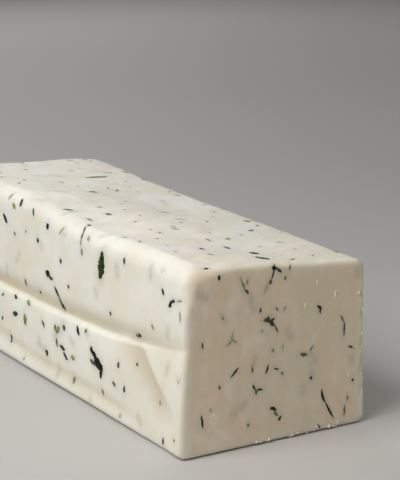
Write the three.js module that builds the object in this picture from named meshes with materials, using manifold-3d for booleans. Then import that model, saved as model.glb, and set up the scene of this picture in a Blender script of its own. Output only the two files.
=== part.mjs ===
// A loaf of jalapeno cheese that was pressed soft into a film bag and then cut across at one end.
// The cut end is flat. The moulded sides and far end keep the crease of the film's seam, a rim along
// the base and a corner fold, and green pepper flecks show on every face.
// Millimetres, +Z up. X runs across the loaf and Y from the cut end (-Y) to the far end (+Y).
// The origin is at the middle of the base.
import * as THREE from "three";
import { mergeVertices } from "three/addons/utils/BufferGeometryUtils.js";
import Module from "manifold-3d";

const wasm = await Module();
wasm.setup();

const { lerp, clamp, smoothstep, degToRad } = THREE.MathUtils;

// Driving sizes of the loaf.
const LENGTH = 268;
const WIDTH = 95;
const LEFT_HEIGHT = 87;
const RIGHT_HEIGHT = 79;
const FAR_END_GAIN = 0.036; // the loaf is taller by this share at its far end
const FAR_END_SPREAD = 1.3; // and each side is this much farther out there

// Radii of the edges that run along the loaf, then of those round its two ends.
const TOP_LEFT_RADIUS = 9;
const TOP_RIGHT_RADIUS = 5;
const BASE_LEFT_RADIUS = 4;
const BASE_RIGHT_RADIUS = 4;
const CUT_EDGE_RADIUS = 2.6;
const CUT_CORNER_RADIUS = 8;
const FAR_EDGE_RADIUS = 8;

// The seam: a crease with a soft tuck above it and a lip that stands out below it.
const SEAM_DEPTH = 2.4;
const SEAM_TUCK = 6;
const SEAM_EDGE = 2.2;
const LIP_SHARE = 0.35; // the lip stands out by this share of the crease's depth
const LIP_START = 4;
const LIP_FADE = 14;

// The rim is a bead along the base with a shallow groove above it. It dies out towards the cut.
const RIM_GROOVE_DEPTH = 0.9;
const RIM_GROOVE_WIDTH = 3;
const RIM_BEAD = 0.7;
const RIM_HEIGHT_AT_CUT = 4;
const RIM_HEIGHT = 9;
const RIM_HEIGHT_FAR = 14;

// The base is flat but for a slight rise towards its edges. The flat field's four corners reach
// farthest, and its sides are drawn in between them by the waist.
const BASE_MARGIN = 7;
const BASE_WAIST = 0.6;
const BASE_SLOPE = 0.045;

const BELLY = 1; // how far a side swells between its edges
const FOLD_WALL = 6;
const FOLD_FADE = 24; // the fold's lift fades within this distance of the cut
const PATCH_RAISE = 1;

// Each side's seam falls from the cut end along a decay length. The crease has its own depth at the
// cut. Below the seam the side leans out to its foot, and the corner fold runs down across it and
// dies out at the cut.
// A patch is a blister that the film left in the upper half.
const LEFT_SIDE = {
  seam: { height: 36.5, rise: 14, fade: 65, depthAtCut: 1.1 },
  foot: { atCut: 3.4, farther: 5 },
  fold: { topAlong: 41, topHeight: 44, baseAlong: 5, baseHeight: 16, raise: 1.5 },
  patch: { along: 34, height: 61, alongReach: 13, heightReach: 9 },
};
const RIGHT_SIDE = {
  seam: { height: 35, rise: 8, fade: 90, depthAtCut: 0 },
  foot: { atCut: 2.4, farther: 2.8 },
  fold: { topAlong: 60, topHeight: 38, baseAlong: 30, baseHeight: 10, raise: 0.4 },
  patch: { along: 150, height: 58, alongReach: 18, heightReach: 10 },
};

// Hollows and swells of the top: place, reach across and along, and rise.
const TOP_SWELLS = [
  { x: -40, along: 92, across: 24, reach: 34, rise: -2.8 },
  { x: -26, along: 166, across: 22, reach: 26, rise: 1.3 },
  { x: 4, along: 34, across: 18, reach: 16, rise: -0.8 },
  { x: 22, along: 128, across: 20, reach: 30, rise: -1.2 },
  { x: 10, along: 222, across: 26, reach: 24, rise: 0.9 },
  { x: 36, along: 246, across: 22, reach: 26, rise: 1.8 },
  { x: -22, along: 262, across: 22, reach: 30, rise: -0.9 },
];

// Places of the grid lines: bands near the edges are counted from the edge, the seam's from the crease.
const BAND = 14;
const EDGE_STOPS = [0, 0.8, 1.9, 3.4, 7, BAND];
const SEAM_STOPS = [-9, -4.5, -2, -0.6, 0.8, 3, 6, 10];
const CELLS_ACROSS = 5;
const CELLS_BY_FOLD = 10;
const CELLS_ALONG = 19;
const FOLD_REACH = 56;
const CELLS_BELOW_SEAM = 3;
const CELLS_ABOVE_SEAM = 3;

// Flecks of pepper stand just proud of the cheese and are rooted in it.
const FLECK_PROUD = 0.35;
const FLECK_ROOT = 1.6;
const FLECK_SPACING = 28;
const SEAM_CLEARANCE = 8;
const FACE_MARGIN = 10;
const SLOPE_STEP = 1.5; // the surface's slope under a fleck is taken over this distance
const RANDOM_SEED = 20;

// The named flecks are the largest. On the cut face a place is across from the left edge and up,
// on a side it is along from the cut end and up, and on the top it is across and along. A fleck
// stands upright on its face, or along the top, and is turned anticlockwise by its lean.
const CUT_FACE_FLECKS = [
  { u: 43.5, v: 56.8, length: 9, width: 4, lean: 52, kind: "shred" },
  { u: 76, v: 12.2, length: 15.6, width: 1.4, lean: 27, kind: "sliver" },
  { u: 44, v: 76, length: 7, width: 1.5, lean: -12, kind: "sliver" },
  { u: 29.5, v: 73, length: 7, width: 2, lean: 22, kind: "shred" },
  { u: 25, v: 37, length: 6.5, width: 1.3, lean: -42, kind: "sliver" },
  { u: 84, v: 47, length: 8, width: 1.3, lean: 0, kind: "sliver" },
  { u: 70, v: 59, length: 3.6, width: 2.4, lean: 20, kind: "shred" },
  { u: 62, v: 39, length: 4.6, width: 2.2, lean: 80, kind: "shred" },
  { u: 46, v: 16, length: 4.4, width: 2.6, lean: 60, kind: "shred" },
  { u: 8.5, v: 16.5, length: 6, width: 1.2, lean: 8, kind: "sliver" },
  { u: 85.2, v: 8, length: 5.5, width: 1.3, lean: -5, kind: "sliver" },
];
const LEFT_FLECKS = [
  { u: 76.4, v: 71.6, length: 13.5, width: 6, lean: -5, kind: "shred" },
  { u: 78.6, v: 24, length: 14, width: 6, lean: 40, kind: "shred" },
  { u: 130, v: 55, length: 9, width: 2.6, lean: 85, kind: "shred" },
  { u: 120.4, v: 44, length: 15, width: 1.5, lean: 30, kind: "sliver" },
  { u: 132, v: 79.3, length: 4, width: 3.2, lean: -10, kind: "shred" },
  { u: 181, v: 74, length: 6, width: 2.8, lean: 50, kind: "shred" },
];
const TOP_FLECKS = [
  { u: 65.4, v: 207, length: 13, width: 3.2, lean: -84, kind: "shred" },
  { u: 41.7, v: 165, length: 5, width: 3.2, lean: -85, kind: "shred" },
  { u: 46.5, v: 11.3, length: 7, width: 3.4, lean: 35, kind: "shred" },
  { u: 49.8, v: 23, length: 4.4, width: 3.6, lean: 55, kind: "shred" },
];

// Returns a seeded generator of numbers from 0 to 1.
function randomFrom(seed) {
  let state = seed;
  return () => {
    state = (state + 0x6d2b79f5) | 0;
    let mixed = Math.imul(state ^ (state >>> 15), 1 | state);
    mixed = (mixed + Math.imul(mixed ^ (mixed >>> 7), 61 | mixed)) ^ mixed;
    return ((mixed ^ (mixed >>> 14)) >>> 0) / 2 ** 32;
  };
}

const bell = (distance, reach) => Math.exp(-((distance / reach) ** 2));

// Height of the top over a place across and along the loaf.
function topHeight(x, along) {
  const slope = lerp(LEFT_HEIGHT, RIGHT_HEIGHT, x / WIDTH + 0.5);
  const swell = TOP_SWELLS.reduce(
    (sum, s) => sum + s.rise * bell(x - s.x, s.across) * bell(along - s.along, s.reach),
    0,
  );
  return slope * (1 + (FAR_END_GAIN * along) / LENGTH) + swell;
}

// Height of the base, which is 0 on its flat field.
function baseHeight(x, along) {
  const reach = WIDTH / 2 - BASE_MARGIN;
  const share = clamp((along - BASE_MARGIN) / (LENGTH - 2 * BASE_MARGIN), 0, 1);
  const pastSide = Math.abs(x) - reach + BASE_WAIST * Math.sin(Math.PI * share);
  const endWaist = BASE_WAIST * Math.cos((Math.PI / 2) * clamp(x / reach, -1, 1));
  const pastEnd = Math.max(BASE_MARGIN - along, along - LENGTH + BASE_MARGIN) + endWaist;
  return BASE_SLOPE * Math.max(0, pastSide, pastEnd);
}

function sideSeamHeight(side, along) {
  return side.seam.height + side.seam.rise * Math.exp(-along / side.seam.fade);
}

// Height of the seam all over the plan, so that it meets itself round the far end.
function seamHeight(x, along) {
  const share = x / WIDTH + 0.5;
  return lerp(sideSeamHeight(LEFT_SIDE, along), sideSeamHeight(RIGHT_SIDE, along), share);
}

// How far the seam's crease and lip stand out, by the height above the crease.
function seamRelief(above, depth) {
  if (above > 0) return -depth * bell(above, SEAM_TUCK);
  const lip = smoothstep(-above, 0, LIP_START) * bell(Math.max(0, -above - LIP_START), LIP_FADE);
  return -depth * bell(above, SEAM_EDGE) + LIP_SHARE * depth * lip;
}

// How far the corner fold lifts the lower half on the cut end's side of its diagonal.
function foldRelief(fold, along, z, above) {
  const runAlong = fold.topAlong - fold.baseAlong;
  const runUp = fold.topHeight - fold.baseHeight;
  const past = runAlong * (z - fold.topHeight) - runUp * (along - fold.topAlong);
  const beyond = past / Math.hypot(runAlong, runUp);
  const lift = fold.raise * smoothstep(along, 0, FOLD_FADE);
  return lift * smoothstep(beyond, -1, FOLD_WALL) * smoothstep(-above, 0, LIP_START);
}

// The bead and the groove along the base.
function rimRelief(along, z) {
  const grown = smoothstep(along, 8, 70);
  const rise = (RIM_HEIGHT_FAR - RIM_HEIGHT) * smoothstep(along, 140, 210);
  const height = lerp(RIM_HEIGHT_AT_CUT, RIM_HEIGHT, grown) + rise;
  const groove = RIM_GROOVE_DEPTH * bell(z - height, RIM_GROOVE_WIDTH);
  const bead = RIM_BEAD * bell(z - 0.4 * height, 0.4 * height);
  return grown * (bead - groove);
}

function patchRelief(patch, along, z) {
  const shape = bell(along - patch.along, patch.alongReach) * bell(z - patch.height, patch.heightReach);
  return PATCH_RAISE * shape;
}

// All that lifts or sinks a side from its plane, outwards positive.
function sideRelief(side, along, z, top) {
  const seam = sideSeamHeight(side, along);
  const above = z - seam;
  const depth = lerp(side.seam.depthAtCut, SEAM_DEPTH, smoothstep(along, 0, 60));
  const reach = lerp(side.foot.atCut, side.foot.farther, smoothstep(along, 60, 220));
  const foot = reach * clamp(1 - z / seam, 0, 1);
  const belly = BELLY * Math.sin(Math.PI * clamp(z / top, 0, 1));
  const spread = (FAR_END_SPREAD * along) / LENGTH;
  const film = seamRelief(above, depth) + foldRelief(side.fold, along, z, above);
  return belly + spread + foot + film + rimRelief(along, z) + patchRelief(side.patch, along, z);
}

// Joins two signed distances with a round edge of the given radius.
function roundJoin(a, b, radius) {
  const u = a + radius;
  const v = b + radius;
  return Math.min(Math.max(u, v), 0) + Math.hypot(Math.max(u, 0), Math.max(v, 0)) - radius;
}

function sectionRadius(x, z) {
  const upper = z > LEFT_HEIGHT / 2;
  if (x < 0) return upper ? TOP_LEFT_RADIUS : BASE_LEFT_RADIUS;
  return upper ? TOP_RIGHT_RADIUS : BASE_RIGHT_RADIUS;
}

// Signed distance from the loaf's surface, negative inside.
function loafDistance(x, along, z) {
  const top = topHeight(x, along);
  const left = -x - WIDTH / 2 - sideRelief(LEFT_SIDE, along, z, top);
  const right = x - WIDTH / 2 - sideRelief(RIGHT_SIDE, along, z, top);
  const side = Math.max(left, right);
  const topOrBase = Math.max(z - top, baseHeight(x, along) - z);
  const section = roundJoin(side, topOrBase, sectionRadius(x, z));
  const slump = smoothstep(z, 62, 84) * smoothstep(-x, 22, 44);
  const cutRadius = lerp(CUT_EDGE_RADIUS, CUT_CORNER_RADIUS, slump);
  if (along < LENGTH / 2) return roundJoin(section, -along, cutRadius);
  const farRelief = BELLY + seamRelief(z - seamHeight(x, along), SEAM_DEPTH);
  return roundJoin(section, along - LENGTH - farRelief, FAR_EDGE_RADIUS);
}

// Follows a ray from a point inside the loaf until it meets the surface.
function surfaceFrom(inner, direction) {
  let near = 0;
  let far = 3 * BAND;
  const point = new THREE.Vector3();
  for (let step = 0; step < 40; step++) {
    const middle = (near + far) / 2;
    point.copy(inner).addScaledVector(direction, middle);
    if (loafDistance(point.x, point.y, point.z) < 0) near = middle;
    else far = middle;
  }
  return point;
}

// The core is the loaf less its outer band. Rays run from it, so they fan out at the edges.
function surfacePoint(x, along, z) {
  const side = WIDTH / 2 - BAND;
  const inner = new THREE.Vector3(
    clamp(x, -side, side),
    clamp(along, BAND, LENGTH - BAND),
    clamp(z, BAND, topHeight(x, along) - BAND),
  );
  const direction = new THREE.Vector3(x, along, z).sub(inner).normalize();
  return surfaceFrom(inner, direction);
}

function evenStops(from, to, cells) {
  return Array.from({ length: cells }, (_, i) => lerp(from, to, (i + 1) / cells));
}

const mirrored = (stops, length) => stops.map((s) => length - s).reverse();

const acrossStops = [
  ...EDGE_STOPS,
  ...evenStops(BAND, WIDTH - BAND, CELLS_ACROSS),
  ...mirrored(EDGE_STOPS, WIDTH).slice(1),
].map((s) => s - WIDTH / 2);

const alongStops = [
  ...EDGE_STOPS,
  ...evenStops(BAND, FOLD_REACH, CELLS_BY_FOLD),
  ...evenStops(FOLD_REACH, LENGTH - BAND, CELLS_ALONG),
  ...mirrored(EDGE_STOPS, LENGTH).slice(1),
];

// Heights of the grid lines over one place, which follow the seam and the top.
function upStops(x, along) {
  const top = topHeight(x, along);
  const seam = seamHeight(x, along);
  const byCrease = SEAM_STOPS.map((s) => seam + s);
  return [
    ...EDGE_STOPS,
    ...evenStops(BAND, byCrease[0], CELLS_BELOW_SEAM),
    ...byCrease.slice(1),
    ...evenStops(byCrease.at(-1), top - BAND, CELLS_ABOVE_SEAM),
    ...mirrored(EDGE_STOPS, top).slice(1),
  ];
}

// A closed grid over the six faces of the loaf, each grid point moved out to the surface.
function loafGeometry() {
  const last = [acrossStops.length - 1, alongStops.length - 1, upStops(0, 0).length - 1];
  const positions = [];
  const index = [];
  const ids = new Map();
  const idOf = (i, j, k) => {
    const key = `${i},${j},${k}`;
    if (!ids.has(key)) {
      const x = acrossStops[i];
      const along = alongStops[j];
      const point = surfacePoint(x, along, upStops(x, along)[k]);
      ids.set(key, positions.length / 3);
      positions.push(point.x, point.y, Math.max(point.z, 0));
    }
    return ids.get(key);
  };
  // Covers the face where one axis is at its first or last stop.
  const coverFace = (axis, atEnd) => {
    const [second, third] = [(axis + 1) % 3, (axis + 2) % 3];
    const corner = (b, c) => {
      const place = [0, 0, 0];
      place[axis] = atEnd ? last[axis] : 0;
      place[second] = b;
      place[third] = c;
      return idOf(...place);
    };
    for (let b = 0; b < last[second]; b++) {
      for (let c = 0; c < last[third]; c++) {
        const ring = [corner(b, c), corner(b + 1, c), corner(b + 1, c + 1), corner(b, c + 1)];
        if (!atEnd) ring.reverse();
        index.push(ring[0], ring[1], ring[2], ring[0], ring[2], ring[3]);
      }
    }
  };
  for (const axis of [0, 1, 2]) {
    coverFace(axis, false);
    coverFace(axis, true);
  }
  const geometry = new THREE.BufferGeometry();
  geometry.setAttribute("position", new THREE.Float32BufferAttribute(positions, 3));
  geometry.setIndex(index);
  return geometry;
}

function solidOf(geometry) {
  const bare = geometry.clone();
  bare.deleteAttribute("normal");
  bare.deleteAttribute("uv");
  const merged = mergeVertices(bare, 1e-4);
  return new wasm.Manifold(
    new wasm.Mesh({
      numProp: 3,
      vertProperties: new Float32Array(merged.attributes.position.array),
      triVerts: new Uint32Array(merged.index.array),
    }),
  );
}

function geometryOf(solid) {
  const mesh = solid.getMesh();
  const geometry = new THREE.BufferGeometry();
  geometry.setAttribute("position", new THREE.Float32BufferAttribute(mesh.vertProperties, 3));
  geometry.setIndex(Array.from(mesh.triVerts));
  geometry.computeVertexNormals();
  return geometry;
}

// A thin strip of pepper skin, bent a little and pointed at both ends.
function sliverOutline({ length, width }, random) {
  const bend = lerp(-0.12, 0.12, random()) * length;
  return [
    [0, -length / 2],
    [bend + width / 2, -length / 6],
    [bend + width / 2, length / 6],
    [0, length / 2],
    [bend - width / 2, length / 6],
    [bend - width / 2, -length / 6],
  ];
}

// A torn piece with an uneven rim.
function shredOutline({ length, width }, random) {
  const corners = 8;
  return Array.from({ length: corners }, (_, i) => {
    const angle = (2 * Math.PI * i) / corners;
    const reach = lerp(0.72, 1.1, random());
    return [(Math.cos(angle) * width * reach) / 2, (Math.sin(angle) * length * reach) / 2];
  });
}

const OUTLINES = { sliver: sliverOutline, shred: shredOutline };

// A chip of the given outline, set on the surface under a place and turned by its lean.
function fleckSolid(place, up, fleck, random) {
  const outline = OUTLINES[fleck.kind](fleck, random).map(([u, v]) => new THREE.Vector2(u, v));
  const chip = new THREE.ExtrudeGeometry(new THREE.Shape(outline), {
    depth: FLECK_ROOT + FLECK_PROUD,
    bevelEnabled: false,
  });
  const point = surfacePoint(place.x, place.y, place.z);
  const slope = (dx, dy, dz) =>
    loafDistance(point.x + dx, point.y + dy, point.z + dz) -
    loafDistance(point.x - dx, point.y - dy, point.z - dz);
  const normal = new THREE.Vector3(
    slope(SLOPE_STEP, 0, 0),
    slope(0, SLOPE_STEP, 0),
    slope(0, 0, SLOPE_STEP),
  ).normalize();
  const acrossFace = new THREE.Vector3().crossVectors(up, normal).normalize();
  const upFace = new THREE.Vector3().crossVectors(normal, acrossFace);
  const frame = new THREE.Matrix4().makeBasis(acrossFace, upFace, normal).setPosition(point);
  chip.translate(0, 0, -FLECK_ROOT);
  chip.applyMatrix4(new THREE.Matrix4().makeRotationZ(degToRad(fleck.lean)));
  chip.applyMatrix4(frame);
  return solidOf(chip);
}

// Each face says how wide and high it is, where its places lie on the loaf, and which way is up.
const FACES = [
  {
    size: [WIDTH, RIGHT_HEIGHT],
    at: (u, v) => new THREE.Vector3(u - WIDTH / 2, 0, v),
    up: new THREE.Vector3(0, 0, 1),
    named: CUT_FACE_FLECKS,
  },
  {
    size: [LENGTH, LEFT_HEIGHT],
    at: (u, v) => new THREE.Vector3(-WIDTH / 2, u, v),
    up: new THREE.Vector3(0, 0, 1),
    named: LEFT_FLECKS,
    hasSeam: true,
  },
  {
    size: [LENGTH, RIGHT_HEIGHT],
    at: (u, v) => new THREE.Vector3(WIDTH / 2, u, v),
    up: new THREE.Vector3(0, 0, 1),
    named: [],
    hasSeam: true,
  },
  {
    size: [WIDTH, LENGTH],
    at: (u, v) => new THREE.Vector3(u - WIDTH / 2, v, topHeight(u - WIDTH / 2, v)),
    up: new THREE.Vector3(0, 1, 0),
    named: TOP_FLECKS,
  },
  {
    size: [WIDTH, RIGHT_HEIGHT],
    at: (u, v) => new THREE.Vector3(u - WIDTH / 2, LENGTH, v),
    up: new THREE.Vector3(0, 0, 1),
    named: [],
    hasSeam: true,
  },
];

// The named flecks of a face, then one in each cell of a loose grid that none of them fills.
function flecksOf(face, random) {
  const placed = face.named.map((fleck) => ({ ...fleck }));
  const cells = face.size.map((size) => Math.round((size - 2 * FACE_MARGIN) / FLECK_SPACING));
  const pitch = face.size.map((size, i) => (size - 2 * FACE_MARGIN) / cells[i]);
  for (let a = 0; a < cells[0]; a++) {
    for (let b = 0; b < cells[1]; b++) {
      const u = FACE_MARGIN + pitch[0] * (a + lerp(0.15, 0.85, random()));
      const v = FACE_MARGIN + pitch[1] * (b + lerp(0.15, 0.85, random()));
      const kind = random() < 0.5 ? "sliver" : "shred";
      const length = lerp(4, 10, random() ** 2);
      const width = kind === "sliver" ? 1.4 : length * 0.4;
      const lean = lerp(-60, 60, random());
      const apart = placed.every((other) => Math.hypot(other.u - u, other.v - v) > FLECK_SPACING / 2);
      const place = face.at(u, v);
      const fromSeam = Math.abs(place.z - seamHeight(place.x, place.y));
      if (apart && !(face.hasSeam && fromSeam < SEAM_CLEARANCE)) {
        placed.push({ u, v, length, width, lean, kind });
      }
    }
  }
  return placed;
}

function cheeseGeometry() {
  const random = randomFrom(RANDOM_SEED);
  const flecks = FACES.flatMap((face) =>
    flecksOf(face, random).map((fleck) =>
      fleckSolid(face.at(fleck.u, fleck.v), face.up, fleck, random),
    ),
  );
  const loaf = solidOf(loafGeometry());
  return geometryOf(wasm.Manifold.union([loaf, ...flecks]));
}

function cheeseMesh() {
  const geometry = cheeseGeometry();
  geometry.computeBoundingBox();
  const middle = geometry.boundingBox.getCenter(new THREE.Vector3());
  geometry.translate(-middle.x, -middle.y, 0);
  const material = new THREE.MeshStandardMaterial({
    color: new THREE.Color(0.86, 0.82, 0.68),
    roughness: 0.45,
    metalness: 0,
  });
  const mesh = new THREE.Mesh(geometry, material);
  mesh.name = "cheese";
  return mesh;
}

const loaf = new THREE.Group();
loaf.add(cheeseMesh());

export default loaf;
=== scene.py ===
"""Looks of a loaf of jalapeno cheese: its fine skin and cut face, the pepper flecks and the crumbs.

The loaf's form follows from the same named sizes as its solid. Sizes are millimetres in the loaf's
own coordinates (x across, s along from the cut face, z up) until a mesh is made. A pair of numbers
gives the places between which something grows in or fades, or the range of a random draw.
"""
import itertools
from collections import namedtuple

import bmesh
import bpy
import numpy as np
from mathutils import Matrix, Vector


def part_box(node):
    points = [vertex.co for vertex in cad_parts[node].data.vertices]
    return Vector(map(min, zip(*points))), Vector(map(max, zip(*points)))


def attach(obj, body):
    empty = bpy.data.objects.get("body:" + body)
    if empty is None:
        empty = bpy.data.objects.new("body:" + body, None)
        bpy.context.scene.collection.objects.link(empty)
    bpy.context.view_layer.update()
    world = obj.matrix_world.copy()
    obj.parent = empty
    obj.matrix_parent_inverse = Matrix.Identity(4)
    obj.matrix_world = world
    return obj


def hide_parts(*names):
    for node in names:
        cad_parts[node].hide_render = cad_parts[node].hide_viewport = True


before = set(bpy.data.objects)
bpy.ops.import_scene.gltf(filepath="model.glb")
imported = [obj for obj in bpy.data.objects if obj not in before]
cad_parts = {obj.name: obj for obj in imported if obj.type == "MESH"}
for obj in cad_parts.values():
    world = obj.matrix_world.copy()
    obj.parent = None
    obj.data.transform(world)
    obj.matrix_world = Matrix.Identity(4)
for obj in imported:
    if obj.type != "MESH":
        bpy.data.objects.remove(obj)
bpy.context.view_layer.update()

MM = 0.001

# Driving sizes of the loaf.
LENGTH = 268
WIDTH = 95
LEFT_HEIGHT = 87
RIGHT_HEIGHT = 79
FAR_END_GAIN = 0.036  # share by which the top is higher at the far end
FAR_END_SPREAD = 1.3  # how much farther out each side stands there

# Radii of the edges.
TOP_LEFT_RADIUS = 9
TOP_RIGHT_RADIUS = 5
BASE_RADIUS = 4
CUT_EDGE_RADIUS = 2.6
CUT_CORNER_RADIUS = 8
FAR_EDGE_RADIUS = 8

# The cut's rounder corner grows in between these heights and these distances left of the middle.
CORNER_HEIGHTS = (62, 84)
CORNER_ACROSS = (22, 44)

# The film's seam, with a tuck above its crease and a lip below it. It deepens away from the cut.
SEAM_DEPTH = 2.4
SEAM_GROWS = (0, 60)
SEAM_TUCK = 6
SEAM_EDGE = 2.2
LIP_SHARE = 0.35
LIP_START = 4
LIP_FADE = 14

# The bead and groove along the base.
RIM_GROOVE_DEPTH = 0.9
RIM_GROOVE_WIDTH = 3
RIM_BEAD = 0.7
RIM_HEIGHT_AT_CUT = 4
RIM_HEIGHT = 9
RIM_HEIGHT_FAR = 14
RIM_GROWS = (8, 70)
RIM_CLIMBS = (140, 210)
BEAD_MIDDLE = 0.4  # the bead's height, as a share of the groove's

# The base's flat field, drawn in by a waist between its corners, and its slope outside the field.
BASE_MARGIN = 7
BASE_WAIST = 0.6
BASE_SLOPE = 0.045

BELLY = 1  # how far the sides and the far end bulge
FOOT_GROWS = (60, 220)
FOLD_WALL = (-1, 6)  # the fold's wall rises between these distances past its diagonal
FOLD_FADE = 24  # the fold's lift fades within this distance of the cut
PATCH_RAISE = 1
FLECK_PROUD = 0.35  # how far the solid's own flecks stand out of the cut face

Seam = namedtuple("Seam", "height rise fade depth_at_cut")
Foot = namedtuple("Foot", "at_cut farther")
Fold = namedtuple("Fold", "top_along top_height base_along base_height lift")
Patch = namedtuple("Patch", "along height along_reach height_reach")
Side = namedtuple("Side", "seam foot fold patch")
Swell = namedtuple("Swell", "x along across reach rise")

LEFT_SIDE = Side(
    Seam(height=36.5, rise=14, fade=65, depth_at_cut=1.1),
    Foot(at_cut=3.4, farther=5),
    Fold(top_along=41, top_height=44, base_along=5, base_height=16, lift=1.5),
    Patch(along=34, height=61, along_reach=13, height_reach=9),
)
RIGHT_SIDE = Side(
    Seam(height=35, rise=8, fade=90, depth_at_cut=0),
    Foot(at_cut=2.4, farther=2.8),
    Fold(top_along=60, top_height=38, base_along=30, base_height=10, lift=0.4),
    Patch(along=150, height=58, along_reach=18, height_reach=10),
)
TOP_SWELLS = [
    Swell(x=-40, along=92, across=24, reach=34, rise=-2.8),
    Swell(x=-26, along=166, across=22, reach=26, rise=1.3),
    Swell(x=4, along=34, across=18, reach=16, rise=-0.8),
    Swell(x=22, along=128, across=20, reach=30, rise=-1.2),
    Swell(x=10, along=222, across=26, reach=24, rise=0.9),
    Swell(x=36, along=246, across=22, reach=26, rise=1.8),
    Swell(x=-22, along=262, across=22, reach=30, rise=-0.9),
]

# Grid of the fine mesh.
BAND = 14
EDGE_CELLS = 13
EDGE_GROWTH = 1.35  # the cells of an edge band grow towards its inner side
CELL = 1.35
SEAM_BELOW = 9
SEAM_ABOVE = 10
SEAM_CELL = 0.65
LOWER_FIELD = 15  # about the height between the edge band and the seam's cells
UPPER_FIELD = 22  # and between the seam's cells and the upper edge band

# How finely a point is brought to the smooth form.
NORMAL_STEP = 0.5
HALVINGS = 30
SETTLE_ROUNDS = 5

# The photograph's frame and the camera that fits it. Its place is from the cut face's lower left corner.
FRAME_WIDE = 400
FRAME_HIGH = 480
FOCAL_PIXELS = 1600
SENSOR = 36
CAMERA_PLACE = (-334.7, -564.9, 258.3)
CAMERA_LOOK = (0.5033, 0.8316, -0.2349)


def bell(distance, reach):
    return np.exp(-((distance / reach) ** 2))


def smoothstep(value, low, high):
    share = np.clip((value - low) / (high - low), 0, 1)
    return share * share * (3 - 2 * share)


def mix(low, high, share):
    return low + (high - low) * share


def top_height(x, s):
    """Height of the top over a place across and along the loaf."""
    slope = mix(LEFT_HEIGHT, RIGHT_HEIGHT, x / WIDTH + 0.5)
    swell = sum(w.rise * bell(x - w.x, w.across) * bell(s - w.along, w.reach) for w in TOP_SWELLS)
    return slope * (1 + FAR_END_GAIN * s / LENGTH) + swell


def base_height(x, s):
    """Height of the base, which is 0 on its flat field."""
    reach = WIDTH / 2 - BASE_MARGIN
    share = np.clip((s - BASE_MARGIN) / (LENGTH - 2 * BASE_MARGIN), 0, 1)
    past_side = np.abs(x) - reach + BASE_WAIST * np.sin(np.pi * share)
    end_waist = BASE_WAIST * np.cos(np.pi / 2 * np.clip(x / reach, -1, 1))
    past_end = np.maximum(BASE_MARGIN - s, s - LENGTH + BASE_MARGIN) + end_waist
    return BASE_SLOPE * np.maximum(0, np.maximum(past_side, past_end))


def side_seam_height(side, s):
    return side.seam.height + side.seam.rise * np.exp(-s / side.seam.fade)


def seam_height(x, s):
    """Height of the seam all over the plan, so that it meets itself round the far end."""
    return mix(side_seam_height(LEFT_SIDE, s), side_seam_height(RIGHT_SIDE, s), x / WIDTH + 0.5)


def seam_relief(above, depth):
    """How far the crease and lip stand out, by the height above the crease."""
    lip = smoothstep(-above, 0, LIP_START) * bell(np.maximum(0, -above - LIP_START), LIP_FADE)
    below = -depth * bell(above, SEAM_EDGE) + LIP_SHARE * depth * lip
    return np.where(above > 0, -depth * bell(above, SEAM_TUCK), below)


def beyond_fold(fold, s, z):
    """How far a place lies past the fold's diagonal, towards the cut end."""
    run_along = fold.top_along - fold.base_along
    run_up = fold.top_height - fold.base_height
    past = run_along * (z - fold.top_height) - run_up * (s - fold.top_along)
    return past / np.hypot(run_along, run_up)


def fold_relief(fold, s, z, above):
    """How far the corner fold lifts the lower half on the cut end's side of its diagonal."""
    risen = smoothstep(beyond_fold(fold, s, z), *FOLD_WALL) * smoothstep(s, 0, FOLD_FADE)
    return fold.lift * risen * smoothstep(-above, 0, LIP_START)


def rim_groove(s, z):
    """Height of the rim's groove, and how much a place belongs to it."""
    grown = smoothstep(s, *RIM_GROWS)
    rise = (RIM_HEIGHT_FAR - RIM_HEIGHT) * smoothstep(s, *RIM_CLIMBS)
    height = mix(RIM_HEIGHT_AT_CUT, RIM_HEIGHT, grown) + rise
    return height, grown * bell(z - height, RIM_GROOVE_WIDTH)


def rim_relief(s, z):
    """The bead and the groove along the base."""
    height, in_groove = rim_groove(s, z)
    middle = BEAD_MIDDLE * height
    bead = RIM_BEAD * smoothstep(s, *RIM_GROWS) * bell(z - middle, middle)
    return bead - RIM_GROOVE_DEPTH * in_groove


def patch_relief(patch, s, z):
    return PATCH_RAISE * bell(s - patch.along, patch.along_reach) * bell(z - patch.height, patch.height_reach)


def side_relief(side, s, z, top):
    """All that lifts or sinks a side from its plane, outwards positive."""
    seam = side_seam_height(side, s)
    above = z - seam
    depth = mix(side.seam.depth_at_cut, SEAM_DEPTH, smoothstep(s, *SEAM_GROWS))
    reach = mix(side.foot.at_cut, side.foot.farther, smoothstep(s, *FOOT_GROWS))
    foot = reach * np.clip(1 - z / seam, 0, 1)
    belly = BELLY * np.sin(np.pi * np.clip(z / top, 0, 1))
    spread = FAR_END_SPREAD * s / LENGTH
    film = seam_relief(above, depth) + fold_relief(side.fold, s, z, above)
    crisper = ledge_edge(side, s, z) + fold_edge(side, s, z)
    return belly + spread + foot + film + crisper + rim_relief(s, z) + patch_relief(side.patch, s, z)


def round_join(a, b, radius):
    """Joins two signed distances with a round edge."""
    u = a + radius
    v = b + radius
    return np.minimum(np.maximum(u, v), 0) + np.hypot(np.maximum(u, 0), np.maximum(v, 0)) - radius


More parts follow.
